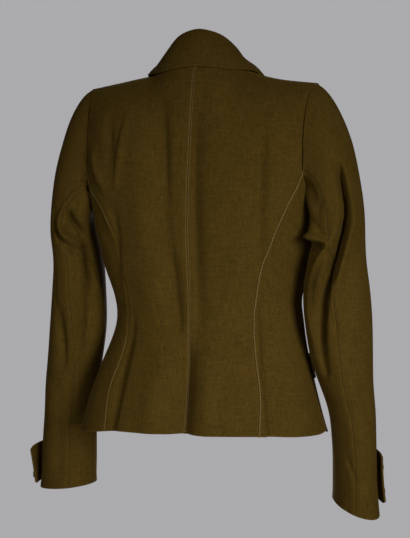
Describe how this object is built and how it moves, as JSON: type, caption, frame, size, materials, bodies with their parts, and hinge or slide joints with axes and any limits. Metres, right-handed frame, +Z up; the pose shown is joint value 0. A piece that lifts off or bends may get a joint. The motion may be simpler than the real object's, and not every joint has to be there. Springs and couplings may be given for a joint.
{
  "type": "wool jacket",
  "caption": "fitted single-breasted jacket in plain wool, worn form with nobody in it: turn-down collar, notched lapels, curved back seams, seamed sleeves with cuff tabs, hip tabs",
  "frame": {"origin": "in the middle of the neck, at the height of the shoulder seams, where the wearer's neck and shoulders hold the jacket up", "axes": "+Z up along the wearer's spine, -Y towards the front, +X towards the wearer's left"},
  "size_m": [0.5551, 0.2577, 0.6981],
  "materials": {
    "wool": "matte",
    "horn": "satin"
  },
  "bodies": {
    "root": {"back_l": "wool", "back_r": "wool", "side_back_l": "wool", "side_back_r": "wool", "front_l": "wool", "front_r": "wool", "lapel_l": "wool", "lapel_r": "wool", "collar": "wool", "sleeve_upper_l": "wool", "sleeve_upper_r": "wool", "sleeve_under_l": "wool", "sleeve_under_r": "wool", "cuff_tab_l": "wool", "cuff_tab_r": "wool", "hip_tab_l": "wool", "hip_tab_r": "wool", "cuff_button_l1": "horn", "cuff_button_l2": "horn", "cuff_button_r1": "horn", "cuff_button_r2": "horn", "hip_button_l": "horn", "hip_button_r": "horn", "front_button_1": "horn", "front_button_2": "horn", "front_button_3": "horn"}
  },
  "joints": []
}
